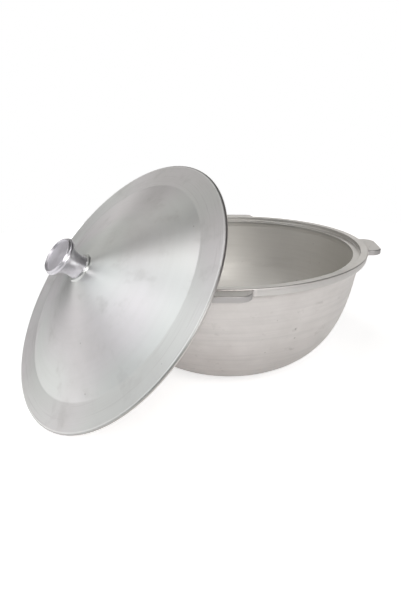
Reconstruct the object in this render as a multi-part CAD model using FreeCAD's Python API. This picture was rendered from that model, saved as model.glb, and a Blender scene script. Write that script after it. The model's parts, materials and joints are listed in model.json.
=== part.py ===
# A cast aluminium cauldron with its own loose cast lid, which stands on the floor and leans on the pot.
# Frame: origin at the centre of the flat base, on the floor, +Z up, the four lugs on +-X and +-Y.
# All sizes are in millimetres. A profile is drawn as (distance from the axis, height) and turned.
import FreeCAD, Part
import math
import os

# Pot: one casting with its rim flange and four lugs.
FLANGE_R = 190.0
LIP_H = 3.0
LIP_STEP = 1.0
LIP_EDGE = 0.4
FLANGE_T = 11.0
FLANGE_BULGE = 3.2
RIM_EDGE = 0.9
RIM_H = 162.5
RING_R = 180.0
LEDGE_DROP = 5.65
LEDGE_EDGE = 0.9
MOUTH_R = 170.4
BASE_R = 51.9
BASE_T = 5.0
BOWL_R = 179.8
BOWL_H = 154.5
BOWL_PULL = (97.4, 76.8)
BOWL_LEAN = 0.134
COVE_START = 0.90
COVE_PULL = (6.0, 5.0)
INNER_R = 50.0
INNER_H = 148.0
INNER_PULL = (93.0, 74.0)
INNER_LEAN = 0.10

# Lugs: four flat tongues, cast on the flange a little below the rim.
LUG_REACH = 207.9
LUG_HALF_W = 32.0
LUG_CORNER = 14.8
LUG_ROOT = 3.0
LUG_FLARE = 5.0
LUG_DROP = 1.2
LUG_T = 7.2
LUG_ROOT_R = 183.0
LUG_EDGE = 1.1

# Lid: one casting with a nearly flat outer flange, a shallow cone and a small boss for the knob.
LID_R = 176.4
LID_EDGE_T = 3.2
LID_EDGE = 0.6
LID_TOP_EDGE = 2.2
LID_BEND = 6.0
LID_SEAT_R = 168.0
LID_T = 3.2
CREASE_R = 143.7
CREASE_H = 5.9
CONE_R = 18.0
CONE_H = 50.2
BOSS_R = 17.2
BOSS_H = 52.7
BOSS_EDGE = 0.8
SEAT_R = 12.6
SEAT_H = 46.8
SEAT_DRAFT = 1.2
SEAT_EDGE = 0.5
SCREW_HOLE_R = 3.3

# Knob: one turned piece with a bead and a dished top.
KNOB_R = 14.4
NECK_R = 13.6
NECK_H = 60.0
WAIST_IN = 0.1
NECK_PULL = 5.0
FLARE_PULL = (4.5, 1.2)
BEAD_LOW = (21.2, 75.4)
BEAD_MID = (22.9, 77.8)
BEAD_HIGH = (21.7, 80.0)
KNOB_TOP_R = 20.8
KNOB_TOP_H = 82.2
TOP_CROWN = 0.5
DISH_R = 19.7
DISH_DEPTH = 2.4
DISH_DRAFT = 1.4
TAP_R = 3.05
TAP_DEPTH = 12.0

# Screw and washer that hold the knob from inside the lid.
SCREW_R = 3.0
SCREW_LENGTH = 16.0
HEAD_R = 5.8
HEAD_H = 3.6
HEAD_EDGE = 1.6
SMALL_EDGE = 0.3
TIP_EDGE = 0.8
SLOT_W = 1.6
SLOT_DEPTH = 1.9
WASHER_R = 7.5
WASHER_T = 1.5

# Where the lid stands: the tilt of its axis, the way the axis leans, and the centre of its lower edge.
LID_TILT = 0.8775
LID_AZIMUTH = 3.8542
LID_X = -137.3
LID_Y = -109.9


def at(point):
    return FreeCAD.Vector(point[0], 0, point[1])


def straight(points):
    return [Part.LineSegment(at(a), at(b)).toShape() for a, b in zip(points, points[1:])]


def arc(start, middle, end):
    return Part.Arc(at(start), at(middle), at(end)).toShape()


def bezier(points, end=1.0):
    curve = Part.BezierCurve()
    curve.setPoles([at(p) for p in points])
    if end < 1.0:
        curve.segment(0.0, end)
    return curve


def unit(a, b):
    length = math.hypot(b[0] - a[0], b[1] - a[1])
    return (b[0] - a[0]) / length, (b[1] - a[1]) / length


def rounded(points):
    """Straight edges through points (r, h, rounding), with each inner corner rounded by its own radius."""
    edges = []
    last = points[0]
    for before, corner, after in zip(points, points[1:], points[2:]):
        radius = corner[2]
        if radius == 0:
            edges += straight([last, corner])
            last = corner
            continue
        back = unit(corner, before)
        on = unit(corner, after)
        half = math.acos(back[0] * on[0] + back[1] * on[1]) / 2
        cut = radius / math.tan(half)
        start = (corner[0] + back[0] * cut, corner[1] + back[1] * cut)
        end = (corner[0] + on[0] * cut, corner[1] + on[1] * cut)
        inward = unit((0, 0), (back[0] + on[0], back[1] + on[1]))
        reach = radius / math.sin(half) - radius
        middle = (corner[0] + inward[0] * reach, corner[1] + inward[1] * reach)
        edges += straight([last, start])
        edges.append(arc(start, middle, end))
        last = end
    return edges + straight([last, points[-1]])


def turned(edges):
    wire = Part.Wire(Part.__sortEdges__(edges))
    return Part.Face(wire).revolve(FreeCAD.Vector(), FreeCAD.Vector(0, 0, 1), 360)


def bowl_curve():
    pull = (BOWL_PULL[1] * math.sin(BOWL_LEAN), BOWL_PULL[1] * math.cos(BOWL_LEAN))
    points = [(BASE_R, 0), (BASE_R + BOWL_PULL[0], 0), (BOWL_R - pull[0], BOWL_H - pull[1]), (BOWL_R, BOWL_H)]
    return bezier(points, COVE_START)


def cove(bowl):
    """The curve from the bowl's wall, under the flange, out and round to the flange's face."""
    start = bowl.value(1.0)
    way = bowl.tangent(1.0)[0]
    face = FLANGE_R - LIP_STEP
    low = RIM_H - FLANGE_T
    end = (face - FLANGE_BULGE, low)
    near = (start.x + way.x * COVE_PULL[0], start.z + way.z * COVE_PULL[0])
    under = bezier([(start.x, start.z), near, (end[0] - COVE_PULL[1], low), end])
    bend = FLANGE_BULGE * (1 - math.sqrt(0.5))
    return [under.toShape(), arc(end, (face - bend, low + bend), (face, low + FLANGE_BULGE))]


def inner_curve():
    pull = (INNER_PULL[1] * math.sin(INNER_LEAN), INNER_PULL[1] * math.cos(INNER_LEAN))
    low = (INNER_R + INNER_PULL[0], BASE_T)
    return bezier([(MOUTH_R, INNER_H), (MOUTH_R - pull[0], INNER_H - pull[1]), low, (INNER_R, BASE_T)])


def pot_shell():
    bowl = bowl_curve()
    ledge = RIM_H - LEDGE_DROP
    lip = RIM_H - LIP_H
    face = FLANGE_R - LIP_STEP
    rim = [
        (face, RIM_H - FLANGE_T + FLANGE_BULGE, 0),
        (face, lip, LIP_EDGE),
        (FLANGE_R, lip, LIP_EDGE),
        (FLANGE_R, RIM_H, RIM_EDGE),
        (RING_R, RIM_H, LEDGE_EDGE),
        (RING_R, ledge, LEDGE_EDGE),
        (MOUTH_R, ledge, LEDGE_EDGE),
        (MOUTH_R, INNER_H, 0),
    ]
    edges = straight([(0, BASE_T), (0, 0), (BASE_R, 0)])
    edges += [bowl.toShape()] + cove(bowl)
    edges += rounded(rim)
    edges += [inner_curve().toShape()]
    edges += straight([(INNER_R, BASE_T), (0, BASE_T)])
    return turned(edges)


def lug(angle):
    """One lug, drawn in plan, thickened upwards and turned to its place."""
    half = LUG_HALF_W
    plan = [
        (LUG_ROOT_R, 0, 0),
        (LUG_ROOT_R, half + LUG_FLARE, 0),
        (FLANGE_R - LUG_ROOT, half + LUG_FLARE, 0),
        (FLANGE_R - LUG_ROOT, half, LUG_ROOT),
        (LUG_REACH, half, LUG_CORNER),
        (LUG_REACH, -half, LUG_CORNER),
        (FLANGE_R - LUG_ROOT, -half, LUG_ROOT),
        (FLANGE_R - LUG_ROOT, -half - LUG_FLARE, 0),
        (LUG_ROOT_R, -half - LUG_FLARE, 0),
        (LUG_ROOT_R, 0, 0),
    ]
    tongue = Part.Face(Part.Wire(rounded(plan))).extrude(FreeCAD.Vector(0, -LUG_T, 0))
    tongue = tongue.makeFillet(LUG_EDGE, [e for e in tongue.Edges if tip_edge(e)])
    tongue.rotate(FreeCAD.Vector(), FreeCAD.Vector(1, 0, 0), -90)
    tongue.translate(FreeCAD.Vector(0, 0, RIM_H - LUG_DROP - LUG_T))
    tongue.rotate(FreeCAD.Vector(), FreeCAD.Vector(0, 0, 1), angle)
    return tongue


def tip_edge(edge):
    """True for the lug's edges along its outline, outside the flange."""
    return edge.BoundBox.YLength < 1e-6 and edge.CenterOfMass.x > FLANGE_R - LUG_ROOT + 1e-3


def pot_body():
    shape = pot_shell()
    for quarter in range(4):
        shape = shape.fuse(lug(90 * quarter))
    return shape.removeSplitter()


def under_cone(r):
    """Height of the lid's inner cone at distance r from its axis."""
    slope = (CONE_H - CREASE_H) / (CREASE_R - CONE_R)
    return CREASE_H + slope * (CREASE_R - r) - LID_T * math.hypot(1, slope)


def lid():
    low_seat_r = SEAT_R + SEAT_DRAFT
    profile = [
        (SCREW_HOLE_R, BOSS_H, 0),
        (BOSS_R, BOSS_H, BOSS_EDGE),
        (CONE_R, CONE_H, 0),
        (CREASE_R, CREASE_H, LID_BEND),
        (LID_R, LID_EDGE_T, LID_TOP_EDGE),
        (LID_R, 0, LID_EDGE),
        (LID_SEAT_R, 0, LID_BEND),
        (CREASE_R, under_cone(CREASE_R), LID_BEND),
        (low_seat_r, under_cone(low_seat_r), SEAT_EDGE),
        (SEAT_R, SEAT_H, SEAT_EDGE),
        (SCREW_HOLE_R, SEAT_H, 0),
        (SCREW_HOLE_R, BOSS_H, 0),
    ]
    return stand(turned(rounded(profile)))


def knob():
    """The foot and neck, the bead, the dished top, then back down the tapped hole."""
    dish = KNOB_TOP_H - DISH_DEPTH
    brim = KNOB_TOP_H - TOP_CROWN
    tap = BOSS_H + TAP_DEPTH
    waist = ((KNOB_R + NECK_R) / 2 - WAIST_IN, (BOSS_H + NECK_H) / 2)
    flare = (BEAD_LOW[0] - FLARE_PULL[0], BEAD_LOW[1] - FLARE_PULL[1])
    edges = [arc((KNOB_R, BOSS_H), waist, (NECK_R, NECK_H))]
    edges.append(bezier([(NECK_R, NECK_H), (NECK_R, NECK_H + NECK_PULL), flare, BEAD_LOW]).toShape())
    edges.append(arc(BEAD_LOW, BEAD_MID, BEAD_HIGH))
    edges += straight([BEAD_HIGH, (KNOB_TOP_R, brim)])
    edges.append(arc((KNOB_TOP_R, brim), ((KNOB_TOP_R + DISH_R) / 2, KNOB_TOP_H), (DISH_R, brim)))
    edges += straight([(DISH_R, brim), (DISH_R - DISH_DRAFT, dish), (0, dish), (0, tap)])
    edges += straight([(0, tap), (TAP_R, tap), (TAP_R, BOSS_H), (KNOB_R, BOSS_H)])
    return stand(turned(edges))


def knob_washer():
    low = SEAT_H - WASHER_T
    profile = [
        (SCREW_HOLE_R, low, 0),
        (WASHER_R, low, SMALL_EDGE),
        (WASHER_R, SEAT_H, SMALL_EDGE),
        (SCREW_HOLE_R, SEAT_H, 0),
        (SCREW_HOLE_R, low, 0),
    ]
    return stand(turned(rounded(profile)))


def knob_screw():
    neck = SEAT_H - WASHER_T
    low = neck - HEAD_H
    tip = neck + SCREW_LENGTH
    profile = [
        (0, low, 0),
        (HEAD_R, low, HEAD_EDGE),
        (HEAD_R, neck, SMALL_EDGE),
        (SCREW_R, neck, 0),
        (SCREW_R, tip - TIP_EDGE, 0),
        (SCREW_R - TIP_EDGE, tip, 0),
        (0, tip, 0),
        (0, low, 0),
    ]
    slot = Part.makeBox(3 * HEAD_R, SLOT_W, SLOT_DEPTH, FreeCAD.Vector(-1.5 * HEAD_R, -SLOT_W / 2, low))
    return stand(turned(rounded(profile)).cut(slot))


def lid_height():
    """Height of the lid's lower-edge centre that sets its rounded edge exactly on the floor."""
    return (LID_R - LID_EDGE) * math.sin(LID_TILT) - LID_EDGE * math.cos(LID_TILT) + LID_EDGE


def stand(shape):
    """Moves a shape from the lid's own frame, axis up, to where the lid stands."""
    shape.rotate(FreeCAD.Vector(), FreeCAD.Vector(0, 1, 0), math.degrees(LID_TILT))
    shape.rotate(FreeCAD.Vector(), FreeCAD.Vector(0, 0, 1), math.degrees(LID_AZIMUTH))
    shape.translate(FreeCAD.Vector(LID_X, LID_Y, lid_height()))
    return shape


def main():
    os.makedirs("parts", exist_ok=True)
    for make in (pot_body, lid, knob, knob_screw, knob_washer):
        shape = make()
        print(make.__name__, shape.isValid(), len(shape.Solids), round(shape.Volume / 1000, 1), "cm3")
        shape.exportStep("parts/" + make.__name__ + ".step")


main()
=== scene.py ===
"""Looks of a cast aluminium cauldron whose lid stands on the floor and leans on it."""
import json
import math

import bpy
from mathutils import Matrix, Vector


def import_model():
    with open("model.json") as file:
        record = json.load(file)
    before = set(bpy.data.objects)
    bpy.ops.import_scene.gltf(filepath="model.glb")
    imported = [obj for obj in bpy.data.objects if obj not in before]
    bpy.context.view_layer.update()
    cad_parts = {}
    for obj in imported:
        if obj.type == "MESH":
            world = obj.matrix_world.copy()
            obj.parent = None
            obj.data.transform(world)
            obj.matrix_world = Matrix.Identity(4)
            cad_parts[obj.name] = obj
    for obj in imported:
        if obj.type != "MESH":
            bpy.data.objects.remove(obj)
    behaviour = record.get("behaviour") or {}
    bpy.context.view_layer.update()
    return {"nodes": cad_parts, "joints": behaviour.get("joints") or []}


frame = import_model()

# Camera, in metres and radians, in the row frame. The lens and sensor are in millimetres, and the shift is
# a share of the sensor.
CAMERA_AT = (0.0310, -0.6487, 0.3338)
CAMERA_TURN = 0.0204
CAMERA_DOWN = 0.3241
CAMERA_LENS = 28.29
CAMERA_SENSOR = 36.0
CAMERA_SHIFT = (-0.0702, -0.0439)
CAMERA_CLIP = (0.01, 50.0)

# Tints of the lights.
NEUTRAL = (1.0, 0.985, 0.975)
COOL = (0.96, 0.98, 1.0)
WARM = (1.0, 0.985, 0.955)

# Softboxes: the way each one lies from the pot as (azimuth, elevation) in degrees, its width and height
# in metres, its radiance and its tint.
SOFTBOXES = {
    "front": ((-72, 28), (2.1, 1.0), 4.1, NEUTRAL),
    "front_left": ((-150, 39), (1.0, 1.7), 1.6, COOL),
    "front_left_low": ((-150, 8), (1.0, 0.8), 0.6, COOL),
    "left": ((180, 18), (1.0, 1.6), 1.05, NEUTRAL),
    "back_left": ((143, 39), (1.4, 1.7), 0.62, WARM),
    "back_left_low": ((120, 8), (1.0, 0.8), 0.85, WARM),
    "back": ((75, 20), (2.2, 1.0), 1.2, WARM),
    "above": ((-135, 72), (1.2, 0.8), 2.8, NEUTRAL),
}
# How far the softboxes stand from the point that they face, and how high that point is.
LIGHT_REACH = 2.2
LIGHT_AIM_UP = 0.1

# The dim room that the metal sees, and the white that the camera sees.
ROOM_TINT = (0.95, 0.97, 1.0, 1.0)
ROOM = 0.02
WHITE = (1.0, 1.0, 1.0, 1.0)
WHITE_STRENGTH = 1.0

# The floor: its radius in metres, and its paint.
FLOOR_R = 1.0
FLOOR_SIDES = 96
FLOOR_PAINT = (0.9, 0.9, 0.9, 1)
FLOOR_ROUGH = 0.8
FLOOR_SPECULAR = 0.1
# Its glow goes from FLOOR_GLOW to FAR_GLOW over GLOW_SPAN, in metres from its centre. Rays other than the
# camera's get none of the glow under the pot, and BOUNCE_SHARE of it past BOUNCE_SPAN.
FLOOR_GLOW = 0.6
FAR_GLOW = 1.0
GLOW_SPAN = (0.55, 1.0)
BOUNCE_SHARE = 0.66
BOUNCE_SPAN = (0.07, 0.24)

# Colours of the metals.
LID_BRIGHT = (0.76, 0.765, 0.76)
LID_GREENISH = (0.755, 0.77, 0.755)
LID_PINKISH = (0.775, 0.755, 0.765)
LID_DULL = (0.64, 0.635, 0.62)
LID_STAIN = (0.50, 0.49, 0.48)
# Painted highlight along the rounding of the lid's rim.
EDGE_HIGHLIGHT = (0.93, 0.93, 0.92)
KNOB_BRIGHT = (0.73, 0.715, 0.75)
KNOB_DULL = (0.56, 0.545, 0.58)
CAST_LIGHT = (0.71, 0.68, 0.662)
CAST_DARK = (0.64, 0.61, 0.592)
CAST_COOL = (0.64, 0.625, 0.605)
CAST_STREAK = (0.54, 0.53, 0.52)
INSIDE = (0.75, 0.735, 0.695)
MACHINED = (0.57, 0.56, 0.54)
# The next two are painted shade on the lugs' sides and painted light on the lugs' tops.
LUG_SIDE_SHADE = (0.42, 0.41, 0.41)
LUG_TOP_LIGHT = (0.75, 0.74, 0.72)
SMUDGE = (0.42, 0.40, 0.38)
# The dark of the pits, also used for painted shade on the lid's side edge and at the pot's foot.
PIT_AND_SHADE = (0.22, 0.21, 0.20)
SCREW_STEEL = (0.62, 0.62, 0.63)
WASHER_STEEL = (0.60, 0.60, 0.61)

# Roughness on each shader's own socket, which a linked noise replaces in a render, and how strongly the
# turned metals fan out their highlights.
LID_ROUGH = 0.40
LID_FANS = 0.68
KNOB_ROUGH = 0.38
KNOB_FANS = 0.35
POT_ROUGH = 0.48
SCREW_ROUGH = 0.30
WASHER_ROUGH = 0.36

# The lid's axis, and the centre of the lid's lower edge in metres, to within 0.2 mm.
LID_AXIS = Vector(next(j["axis"] for j in frame["joints"] if j["name"] == "lid_lift")).normalized()
LID_AT = Vector((-0.1373, -0.1099, 0.1352))

# Lid profile in metres, as (distance from the axis, height along it): cone foot, crease and rim.
CONE_FOOT = (0.0180, 0.0502)
CREASE = (0.1437, 0.0059)
LID_RIM = (0.1764, 0.0032)

# Lengths on the lid and knob, in metres: how deep under the outer side the inner side's look comes in, half
# the width over which the cone's look turns into the flange's, and where the knob's dish is.
LID_INNER_DEPTH = (0.0014, 0.0018)
CREASE_HALF = 0.0012
DISH_UP = 0.0795
DISH_R = 0.0192
# The painted highlight line along the rim's rounding and the painted shade on the lid's side edge, in metres
# in from the lid's rim.
HIGHLIGHT_FROM = (0.0032, 0.0027)
HIGHLIGHT_TO = (0.0022, 0.0018)
EDGE_SHADE_FROM = (0.0018, 0.0008)

# Lengths on the pot, in metres: where the machined ring of the rim begins and ends, above which height it
# lies, where the lugs begin, what counts as the inner floor, and how high the painted shade at the foot
# goes.
RING_FROM = (0.1685, 0.1695)
RING_TO = (0.1897, 0.1899)
RING_UP = (0.1525, 0.1535)
LUG_FROM = (0.1912, 0.1922)
INNER_FLOOR_R = 0.062
INNER_FLOOR_UP = 0.004
FOOT_SHADE_UP = (0.0, 0.012)
# How level a face is, as the upward part of its normal: a lug's side, which gets painted shade, and a lug's
# top, which gets painted light.
SIDE_LEVEL = (0.5, 0.8)
TOP_LEVEL = (0.7, 0.9)
# How far a face looks in towards the pot's axis before it counts as the inner wall.
INWARD = (-0.25, -0.05)

# Noise over a surface: its scale per metre, detail and roughness.
LID_BLOTCH = (16.0, 4.0, 0.62)
LID_TINT = (7.0, 1.0, 0.5)
LID_GRAIN = (1400.0, 2.0, 0.6)
LID_STAINS = (32.0, 3.0, 0.6)
KNOB_SMEAR = (120.0, 3.0, 0.6)
KNOB_GRAIN = (1800.0, 2.0, 0.6)
POT_MOTTLE = (20.0, 5.0, 0.6)
POT_CLOUD = (6.0, 2.0, 0.5)
POT_SAND = (1000.0, 2.0, 0.6)
STEEL_SMEAR = (300.0, 4.0, 0.6)
STEEL_GRAIN = (2500.0, 2.0, 0.5)
# Stretched noise: its scales per metre along X, Y and Z, its detail and its roughness.
POT_STREAK = ((10.0, 10.0, 210.0), 4.0, 0.6)
POT_FINE = ((30.0, 30.0, 1100.0), 3.0, 0.6)
POT_SMUDGE = ((55.0, 55.0, 80.0), 3.0, 0.6)
# Turning marks: how many per metre across them, and how fast they drift along them.
LID_MARKS = (900.0, 3.0)
LID_BROAD = (110.0, 4.0)
LID_ARCS = (420.0, 14.0)
KNOB_MARKS = (1500.0, 4.0)
MARKS_DETAIL = 3.0
MARKS_ROUGH = 0.6
# Pits: cells per metre, size as a share of a cell, and the share of the cells that have one.
LID_PITS = (90.0, 0.10, 0.05)
POT_BIG_PITS = (62.0, 0.11, 0.11)
POT_SMALL_PITS = (150.0, 0.13, 0.06)
PIT_CORE = 0.4

# Layers of colour: the span of the noise over which each comes in, and its greatest share.
TINT_IN = ((0.42, 0.58), 1.0)
BLOTCH_IN = ((0.48, 0.72), 0.45)
BROAD_IN = ((0.46, 0.64), 0.10)
ARCS_IN = ((0.56, 0.70), 0.26)
STAIN_IN = ((0.58, 0.78), 0.32)
CAST_IN = ((0.35, 0.65), 1.0)
KNOB_SMEAR_IN = ((0.42, 0.68), 0.5)
MOTTLE_IN = ((0.36, 0.64), 1.0)
CLOUD_IN = ((0.40, 0.60), 0.25)
STREAK_IN = ((0.48, 0.70), 0.22)
SMUDGE_IN = ((0.62, 0.78), 0.55)
STEEL_SMEAR_IN = ((0.4, 0.65), 0.7)
# Layers of colour over a place on the piece: their share there.
FLANGE_SHARE = 0.12
LID_PIT_SHARE = 0.5
HIGHLIGHT_SHARE = 0.7
EDGE_SHADE_SHARE = 0.60
DISH_SHARE = 0.45
INSIDE_SHARE = 0.85
RING_SHARE = 0.60
LUG_SIDE_SHADE_SHARE = 0.65
LUG_TOP_LIGHT_SHARE = 0.60
POT_PIT_SHARE = 0.7
FOOT_SHADE_SHARE = 0.65
STEEL_DULLER = 0.8

# Roughness: the span of the noise and the roughness at its two ends, and what some places add to it.
LID_ROUGH_SPREAD = (0.3, 0.7, 0.37, 0.44)
KNOB_ROUGH_SPREAD = (0.3, 0.7, 0.34, 0.42)
POT_ROUGH_SPREAD = (0.35, 0.65, 0.44, 0.54)
STEEL_ROUGH_SPAN = (0.35, 0.65)
STEEL_SMOOTHER = 0.05
STEEL_ROUGHER = 0.1
FLANGE_ROUGHER = 0.05
LID_INSIDE_ROUGHER = 0.14
DISH_ROUGHER = 0.12
RING_ROUGHER = -0.10
INSIDE_ROUGHER = 0.06

# Bumps: their strength, and their height in metres.
LID_BUMP = (0.35, 0.00012)
KNOB_BUMP = (0.4, 0.0001)
POT_BUMP = (0.45, 0.0002)
STEEL_BUMP = (0.3, 0.00005)
# What each bump is made of: the weights of the lid's marks, grain, broad marks and stains, of the knob's
# marks and grain, and of the pot's streaks, fine streaks, sand and mottle, less its pits.
LID_RELIEF = (0.6, 0.35, 0.5, 1.6)
KNOB_RELIEF = (0.7, 0.4)
POT_RELIEF = (0.35, 0.5, 0.35, 2.0)
POT_PIT_RELIEF = 1.5


def set_span(node, *span):
    """Make a Map Range node take span[0]..span[1] to span[2]..span[3]."""
    for name, number in zip(("From Min", "From Max", "To Min", "To Max"), span):
        node.inputs[name].default_value = number


def camera():
    data = bpy.data.cameras.new("camera")
    data.lens = CAMERA_LENS
    data.sensor_width = CAMERA_SENSOR
    data.shift_x, data.shift_y = CAMERA_SHIFT
    data.clip_start, data.clip_end = CAMERA_CLIP
    eye = bpy.data.objects.new("camera", data)
    eye.location = CAMERA_AT
    eye.rotation_euler = (math.pi / 2 - CAMERA_DOWN, 0.0, CAMERA_TURN)
    bpy.context.scene.collection.objects.link(eye)
    bpy.context.scene.camera = eye


def softbox(name, way, size, radiance, colour):
    """An area light that faces the pot from the given way."""
    azimuth, elevation = (math.radians(a) for a in way)
    out = Vector((math.cos(elevation) * math.cos(azimuth), math.cos(elevation) * math.sin(azimuth),
                  math.sin(elevation)))
    data = bpy.data.lights.new(name, "AREA")
    data.shape = "RECTANGLE"
    data.size, data.size_y = size
    data.energy = radiance * math.pi * size[0] * size[1]
    data.color = colour
    lamp = bpy.data.objects.new(name, data)
    lamp.location = out * LIGHT_REACH + Vector((0, 0, LIGHT_AIM_UP))
    lamp.rotation_euler = out.to_track_quat("Z", "Y").to_euler()
    bpy.context.scene.collection.objects.link(lamp)


def floor():
    """A round white floor that the camera sees as the white of the backdrop, with faint shadows on it."""
    mesh = bpy.data.meshes.new("floor")
    turns = [2 * math.pi * k / FLOOR_SIDES for k in range(FLOOR_SIDES)]
    rim = [(FLOOR_R * math.cos(a), FLOOR_R * math.sin(a), 0) for a in turns]
    mesh.from_pydata(rim, [], [list(range(FLOOR_SIDES))])
    plane = bpy.data.objects.new("floor", mesh)
    bpy.context.scene.collection.objects.link(plane)
    mesh.materials.append(floor_look())


def floor_look():
    """White paint with a glow, of which rays other than the camera's see only a share."""
    material = bpy.data.materials.new("floor_white")
    material.use_nodes = True
    nodes, links = material.node_tree.nodes, material.node_tree.links
    shader = nodes["Principled BSDF"]
    shader.inputs["Base Color"].default_value = FLOOR_PAINT
    shader.inputs["Roughness"].default_value = FLOOR_ROUGH
    shader.inputs["Specular IOR Level"].default_value = FLOOR_SPECULAR
    shader.inputs["Emission Color"].default_value = WHITE
    place = nodes.new("ShaderNodeTexCoord")
    far = nodes.new("ShaderNodeVectorMath")
    far.operation = "LENGTH"
    links.new(place.outputs["Object"], far.inputs[0])
    glow = nodes.new("ShaderNodeMapRange")
    set_span(glow, *GLOW_SPAN, FLOOR_GLOW, FAR_GLOW)
    links.new(far.outputs["Value"], glow.inputs["Value"])
    bounce = nodes.new("ShaderNodeMapRange")
    set_span(bounce, *BOUNCE_SPAN, 0.0, BOUNCE_SHARE)
    links.new(far.outputs["Value"], bounce.inputs["Value"])
    path = nodes.new("ShaderNodeLightPath")
    share = nodes.new("ShaderNodeMapRange")
    links.new(path.outputs["Is Camera Ray"], share.inputs["Value"])
    links.new(bounce.outputs["Result"], share.inputs["To Min"])
    total = nodes.new("ShaderNodeMath")
    total.operation = "MULTIPLY"
    links.new(glow.outputs["Result"], total.inputs[0])
    links.new(share.outputs["Result"], total.inputs[1])
    links.new(total.outputs["Value"], shader.inputs["Emission Strength"])
    return material


def world():
    """White behind the pot for the camera, and a dim grey room for the light and the reflections."""
    studio = bpy.data.worlds.new("studio")
    studio.use_nodes = True
    nodes, links = studio.node_tree.nodes, studio.node_tree.links
    room = nodes["Background"]
    room.inputs["Color"].default_value = ROOM_TINT
    room.inputs["Strength"].default_value = ROOM
    white = nodes.new("ShaderNodeBackground")
    white.inputs["Color"].default_value = WHITE
    white.inputs["Strength"].default_value = WHITE_STRENGTH
    path = nodes.new("ShaderNodeLightPath")
    mix = nodes.new("ShaderNodeMixShader")
    links.new(path.outputs["Is Camera Ray"], mix.inputs["Fac"])
    links.new(room.outputs["Background"], mix.inputs[1])
    links.new(white.outputs["Background"], mix.inputs[2])
    links.new(mix.outputs["Shader"], nodes["World Output"].inputs["Surface"])
    bpy.context.scene.world = studio


class Look:
    """A metal material with the few node helpers that the metals here share.

    A source is the output of a node, or a number or vector to set on the socket itself. The colour and
    roughness given at the start stay on the shader's own sockets under the links.
    """

    def __init__(self, name, colour, rough):
        self.material = bpy.data.materials.new(name)
        self.material.use_nodes = True
        self.nodes = self.material.node_tree.nodes
        self.links = self.material.node_tree.links
        self.shader = self.nodes["Principled BSDF"]
        self.shader.inputs["Base Color"].default_value = (*colour, 1.0)
        self.shader.inputs["Metallic"].default_value = 1.0
        self.shader.inputs["Roughness"].default_value = rough

    def value(self, source, socket):
        if isinstance(source, (int, float)):
            socket.default_value = source
        elif isinstance(source, (tuple, Vector)):
            socket.default_value = tuple(source)
        else:
            self.links.new(source, socket)

    def finish(self, colour, rough, normal):
        """Give the shader its three surface inputs, and return the material."""
        for source, name in ((colour, "Base Color"), (rough, "Roughness"), (normal, "Normal")):
            self.links.new(source, self.shader.inputs[name])
        return self.material

    def math(self, kind, *sources):
        node = self.nodes.new("ShaderNodeMath")
        node.operation = kind
        for source, socket in zip(sources, node.inputs):
            self.value(source, socket)
        return node.outputs[0]

    def vector(self, kind, *sources):
        node = self.nodes.new("ShaderNodeVectorMath")
        node.operation = kind
        for source, socket in zip(sources, node.inputs):
            self.value(source, socket)
        return node.outputs["Value"] if kind in ("LENGTH", "DOT_PRODUCT") else node.outputs["Vector"]

    def place(self):
        return self.nodes.new("ShaderNodeTexCoord").outputs["Object"]

    def noise(self, place, scale, detail, rough):
        node = self.nodes.new("ShaderNodeTexNoise")
        node.inputs["Scale"].default_value = scale
        node.inputs["Detail"].default_value = detail
        node.inputs["Roughness"].default_value = rough
        self.value(place, node.inputs["Vector"])
        return node.outputs["Fac"]

    def stretched(self, place, scales, detail, rough):
        """Noise with its own scale along each of X, Y and Z."""
        return self.noise(self.vector("MULTIPLY", place, scales), 1.0, detail, rough)

    def spread(self, source, low, high, to_low, to_high):
        """The source's span low..high mapped to to_low..to_high."""
        node = self.nodes.new("ShaderNodeMapRange")
        node.clamp = True
        set_span(node, low, high, to_low, to_high)
        self.value(source, node.inputs["Value"])
        return node.outputs["Result"]

    def rise(self, source, span, top=1.0):
        """0 below the span and top above it."""
        return self.spread(source, *span, 0.0, top)

    def fall(self, source, span, top=1.0):
        """top below the span and 0 above it."""
        return self.spread(source, *span, top, 0.0)

    def times(self, one, two):
        return self.math("MULTIPLY", one, two)

    def plus(self, base, *terms):
        """The base and the (source, weight) terms added up."""
        for source, weight in terms:
            base = self.math("ADD", base, self.times(source, weight))
        return base

    def relief(self, sources, weights):
        """The sources added up by their weights."""
        first, *others = zip(sources, weights)
        return self.plus(self.times(*first), *others)

    def mix(self, factor, one, two):
        node = self.nodes.new("ShaderNodeMix")
        node.data_type = "RGBA"
        self.value(factor, node.inputs["Factor"])
        for colour, socket in ((one, node.inputs[6]), (two, node.inputs[7])):
            if isinstance(colour, tuple):
                socket.default_value = (*colour, 1.0)
            else:
                self.links.new(colour, socket)
        return node.outputs[2]

    def bump(self, height, strength, distance):
        node = self.nodes.new("ShaderNodeBump")
        node.inputs["Strength"].default_value = strength
        node.inputs["Distance"].default_value = distance
        self.value(height, node.inputs["Height"])
        return node.outputs["Normal"]


def around(look, axis, centre):
    """Distance from the axis, height along it, and the way out across the turning marks."""
    offset = look.vector("SUBTRACT", look.place(), centre)
    along = look.vector("DOT_PRODUCT", offset, axis)
    lift = look.nodes.new("ShaderNodeVectorMath")
    lift.operation = "SCALE"
    lift.inputs[0].default_value = tuple(axis)
    look.value(along, lift.inputs["Scale"])
    out = look.vector("SUBTRACT", offset, lift.outputs["Vector"])
    return look.vector("LENGTH", out), along, look.vector("NORMALIZE", out)


def turned_metal(name, colour, rough, fans):
    """Metal turned on a lathe about the lid's axis: highlights fan out across the turning marks."""
    look = Look(name, colour, rough)
    radius, along, out = around(look, LID_AXIS, LID_AT)
    turn = look.nodes.new("ShaderNodeVectorTransform")
    turn.vector_type = "VECTOR"
    turn.convert_from, turn.convert_to = "OBJECT", "WORLD"
    look.value(out, turn.inputs["Vector"])
    look.value(turn.outputs["Vector"], look.shader.inputs["Tangent"])
    look.shader.inputs["Anisotropic"].default_value = fans
    return look, radius, along


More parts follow.
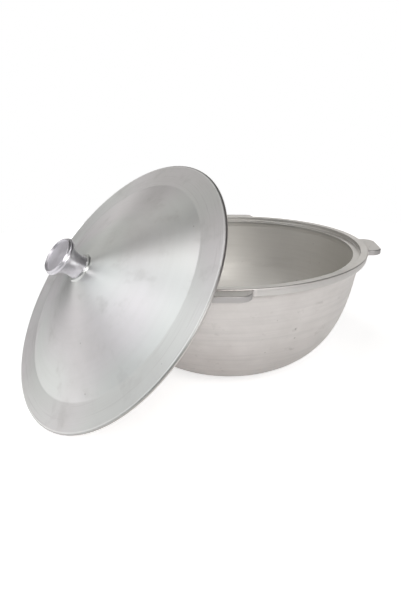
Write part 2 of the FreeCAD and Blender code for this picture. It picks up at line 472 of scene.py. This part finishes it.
def rings(look, across, per_metre, drift):
    """Turning marks: noise that runs with the distance across them and changes slowly along them."""
    place = look.vector("MULTIPLY", look.place(), (drift, drift, drift))
    run = look.nodes.new("ShaderNodeCombineXYZ")
    look.value(look.times(across, per_metre), run.inputs["X"])
    return look.noise(look.vector("ADD", run.outputs["Vector"], place), 1.0, MARKS_DETAIL, MARKS_ROUGH)


def pits(look, per_metre, size, kept):
    """Sparse small casting pits: 1 in a pit, 0 elsewhere."""
    cells = look.nodes.new("ShaderNodeTexVoronoi")
    cells.inputs["Scale"].default_value = per_metre
    look.value(look.place(), cells.inputs["Vector"])
    hole = look.fall(cells.outputs["Distance"], (size * PIT_CORE, size))
    pick = look.nodes.new("ShaderNodeSeparateColor")
    look.value(cells.outputs["Color"], pick.inputs["Color"])
    return look.times(hole, look.math("LESS_THAN", pick.outputs["Red"], kept))


def in_from_rim(span):
    """The span of distances from the lid's axis that lies so far in from its rim."""
    return tuple(LID_RIM[0] - far for far in span)


def lid_look():
    """Turned on its outer side, with a plainer flange, a painted highlight along the rim's rounding and
    painted shade on the side edge; as cast on its inner side.
    """
    look, radius, along = turned_metal("lid_turned", LID_BRIGHT, LID_ROUGH, LID_FANS)
    marks = rings(look, radius, *LID_MARKS)
    broad = rings(look, radius, *LID_BROAD)
    blotch = look.noise(look.place(), *LID_BLOTCH)
    tint = look.noise(look.place(), *LID_TINT)
    grain = look.noise(look.place(), *LID_GRAIN)
    stain = look.noise(look.place(), *LID_STAINS)
    cone = look.spread(radius, CONE_FOOT[0], CREASE[0], CONE_FOOT[1], CREASE[1])
    flange_rise = look.spread(radius, CREASE[0], LID_RIM[0], 0.0, LID_RIM[1] - CREASE[1])
    depth = look.math("SUBTRACT", look.math("ADD", cone, flange_rise), along)
    inside = look.rise(depth, LID_INNER_DEPTH)
    flange = look.rise(radius, (CREASE[0] - CREASE_HALF, CREASE[0] + CREASE_HALF))
    arcs = look.rise(rings(look, radius, *LID_ARCS), *ARCS_IN)
    rim_highlight = look.times(look.rise(radius, in_from_rim(HIGHLIGHT_FROM), HIGHLIGHT_SHARE),
                      look.fall(radius, in_from_rim(HIGHLIGHT_TO)))
    as_cast = look.mix(look.rise(blotch, *CAST_IN), CAST_DARK, CAST_LIGHT)

    metal = look.mix(look.rise(tint, *TINT_IN), LID_GREENISH, LID_PINKISH)
    metal = look.mix(look.rise(blotch, *BLOTCH_IN), metal, LID_DULL)
    metal = look.mix(look.rise(broad, *BROAD_IN), metal, LID_DULL)
    metal = look.mix(look.times(flange, FLANGE_SHARE), metal, LID_DULL)
    metal = look.mix(look.rise(stain, *STAIN_IN), metal, LID_STAIN)
    metal = look.mix(look.times(flange, arcs), metal, LID_STAIN)
    metal = look.mix(look.times(pits(look, *LID_PITS), LID_PIT_SHARE), metal, PIT_AND_SHADE)
    # Painted highlight: a bright line along the rounding of the rim.
    metal = look.mix(rim_highlight, metal, EDGE_HIGHLIGHT)
    # Painted shade: the lid's side edge, which faces away from the light, made dark.
    metal = look.mix(look.rise(radius, in_from_rim(EDGE_SHADE_FROM), EDGE_SHADE_SHARE), metal, PIT_AND_SHADE)
    metal = look.mix(inside, metal, as_cast)

    rough = look.plus(look.spread(marks, *LID_ROUGH_SPREAD),
                      (flange, FLANGE_ROUGHER), (inside, LID_INSIDE_ROUGHER))
    height = look.relief((marks, grain, broad, stain), LID_RELIEF)
    return look.finish(metal, rough, look.bump(height, *LID_BUMP))


def knob_look():
    """Finely turned and almost bright, with a duller dished top."""
    look, radius, along = turned_metal("knob_turned", KNOB_BRIGHT, KNOB_ROUGH, KNOB_FANS)
    marks = rings(look, along, *KNOB_MARKS)
    smear = look.noise(look.place(), *KNOB_SMEAR)
    grain = look.noise(look.place(), *KNOB_GRAIN)
    dish = look.times(look.math("GREATER_THAN", along, DISH_UP), look.math("LESS_THAN", radius, DISH_R))

    metal = look.mix(look.rise(smear, *KNOB_SMEAR_IN), KNOB_BRIGHT, KNOB_DULL)
    metal = look.mix(look.times(dish, DISH_SHARE), metal, KNOB_DULL)

    rough = look.plus(look.spread(marks, *KNOB_ROUGH_SPREAD), (dish, DISH_ROUGHER))
    height = look.relief((marks, grain), KNOB_RELIEF)
    return look.finish(metal, rough, look.bump(height, *KNOB_BUMP))


def pot_look():
    """Sand-cast and brushed round, with level streaks and a few pits, and machined on the rim; with painted
    shade on the lugs' sides and at the foot, and painted light on the lugs' tops.
    """
    look = Look("pot_casting", CAST_LIGHT, POT_ROUGH)
    place = look.place()
    parts = look.nodes.new("ShaderNodeSeparateXYZ")
    look.value(place, parts.inputs["Vector"])
    height_up = parts.outputs["Z"]
    flat = look.vector("MULTIPLY", place, (1.0, 1.0, 0.0))
    radius = look.vector("LENGTH", flat)
    normal = look.nodes.new("ShaderNodeNewGeometry").outputs["Normal"]
    facing = look.vector("DOT_PRODUCT", normal, look.vector("NORMALIZE", flat))
    level = look.vector("DOT_PRODUCT", normal, (0.0, 0.0, 1.0))

    streak = look.stretched(place, *POT_STREAK)
    fine = look.stretched(place, *POT_FINE)
    smudge = look.stretched(place, *POT_SMUDGE)
    mottle = look.noise(place, *POT_MOTTLE)
    cloud = look.noise(place, *POT_CLOUD)
    sand = look.noise(place, *POT_SAND)
    hole = look.math("MAXIMUM", pits(look, *POT_BIG_PITS), pits(look, *POT_SMALL_PITS))

    ring = look.times(look.rise(height_up, RING_UP),
                      look.times(look.rise(radius, RING_FROM), look.fall(radius, RING_TO)))
    lug = look.rise(radius, LUG_FROM)
    lug_side_shade = look.times(lug, look.fall(look.math("ABSOLUTE", level), SIDE_LEVEL))
    lug_top_light = look.times(lug, look.rise(level, TOP_LEVEL))
    inner_floor = look.times(look.math("LESS_THAN", radius, INNER_FLOOR_R),
                             look.math("GREATER_THAN", height_up, INNER_FLOOR_UP))
    inside = look.math("MAXIMUM", inner_floor, look.fall(facing, INWARD))

    metal = look.mix(look.rise(mottle, *MOTTLE_IN), CAST_DARK, CAST_LIGHT)
    metal = look.mix(look.rise(cloud, *CLOUD_IN), metal, CAST_COOL)
    metal = look.mix(look.rise(streak, *STREAK_IN), metal, CAST_STREAK)
    metal = look.mix(look.rise(smudge, *SMUDGE_IN), metal, SMUDGE)
    metal = look.mix(look.times(inside, INSIDE_SHARE), metal, INSIDE)
    metal = look.mix(look.times(ring, RING_SHARE), metal, MACHINED)
    # Painted shade on the lugs' upright sides.
    metal = look.mix(look.times(lug_side_shade, LUG_SIDE_SHADE_SHARE), metal, LUG_SIDE_SHADE)
    # Painted light on the lugs' tops.
    metal = look.mix(look.times(lug_top_light, LUG_TOP_LIGHT_SHARE), metal, LUG_TOP_LIGHT)
    metal = look.mix(look.times(hole, POT_PIT_SHARE), metal, PIT_AND_SHADE)
    # Painted shade: darker towards the bottom of the foot, where the floor meets it.
    metal = look.mix(look.fall(height_up, FOOT_SHADE_UP, FOOT_SHADE_SHARE), metal, PIT_AND_SHADE)

    rough = look.plus(look.spread(streak, *POT_ROUGH_SPREAD), (ring, RING_ROUGHER), (inside, INSIDE_ROUGHER))
    relief = look.relief((streak, fine, sand, mottle), POT_RELIEF)
    relief = look.math("SUBTRACT", relief, look.times(hole, POT_PIT_RELIEF))
    return look.finish(metal, rough, look.bump(relief, *POT_BUMP))


def steel_look(name, colour, rough):
    """Plain zinc-plated steel with faint smears."""
    look = Look(name, colour, rough)
    smear = look.noise(look.place(), *STEEL_SMEAR)
    duller = tuple(STEEL_DULLER * c for c in colour)
    metal = look.mix(look.rise(smear, *STEEL_SMEAR_IN), colour, duller)
    rougher = look.spread(smear, *STEEL_ROUGH_SPAN, rough - STEEL_SMOOTHER, rough + STEEL_ROUGHER)
    return look.finish(metal, rougher, look.bump(look.noise(look.place(), *STEEL_GRAIN), *STEEL_BUMP))


def dress(node, material):
    piece = frame["nodes"][node]
    piece.data.materials.clear()
    piece.data.materials.append(material)


camera()
world()
floor()
for name, settings in SOFTBOXES.items():
    softbox(name, *settings)
dress("pot_body", pot_look())
dress("lid", lid_look())
dress("knob", knob_look())
dress("knob_screw", steel_look("screw_steel", SCREW_STEEL, SCREW_ROUGH))
dress("knob_washer", steel_look("washer_steel", WASHER_STEEL, WASHER_ROUGH))
bpy.context.scene.view_settings.view_transform = "Standard"
